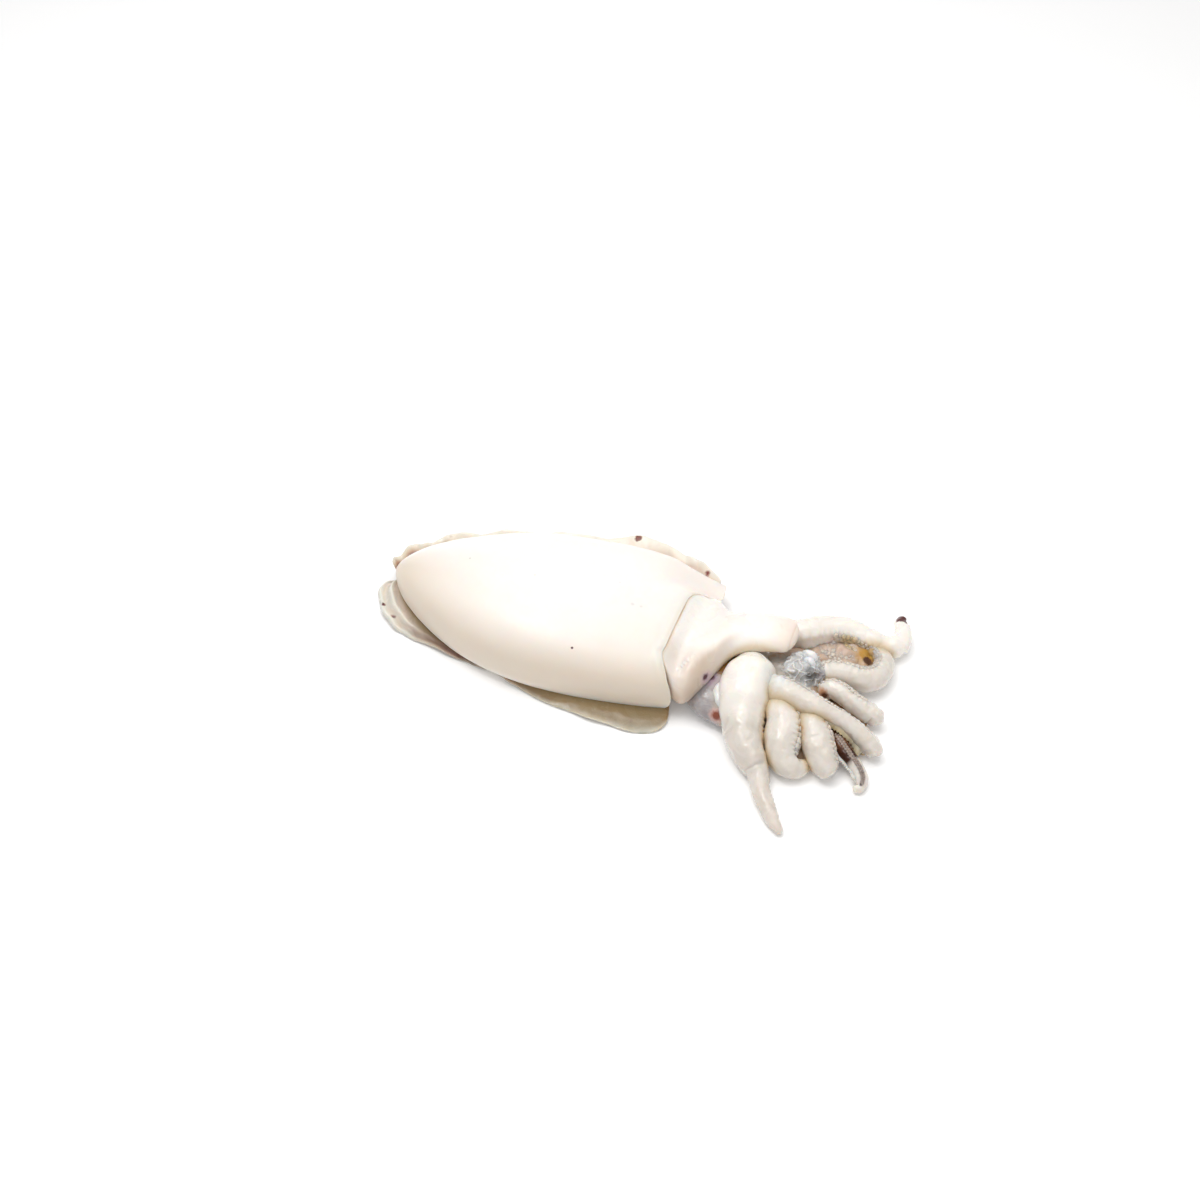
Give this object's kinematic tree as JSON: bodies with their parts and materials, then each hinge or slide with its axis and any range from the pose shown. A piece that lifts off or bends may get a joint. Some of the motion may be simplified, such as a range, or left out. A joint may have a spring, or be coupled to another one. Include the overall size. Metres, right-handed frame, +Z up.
{
  "type": "cleaned cuttlefish",
  "caption": "Whole cleaned raw cuttlefish lying belly up: a smooth pale mantle edged by frilled fins, with the head, funnel and curled sucker-bearing arms tucked into its open end.",
  "frame": {"origin": "on the surface the food lies on, under the centre of its bounding box", "axes": "+X from the mantle's tail towards the arms, +Y towards the far side, +Z up"},
  "size_m": [0.3143, 0.1737, 0.042],
  "materials": {
    "mantle_flesh": "moist, smooth raw flesh, cream white and slightly translucent, with grey-brown translucent fins and a few dark pigment specks",
    "arm_flesh": "wet glossy raw flesh, cream to grey, with pale suckers, yellow-brown creases and a few purple-brown pigment spots"
  },
  "bodies": {
    "root": {"mantle": "mantle_flesh", "head": "arm_flesh"}
  },
  "joints": []
}
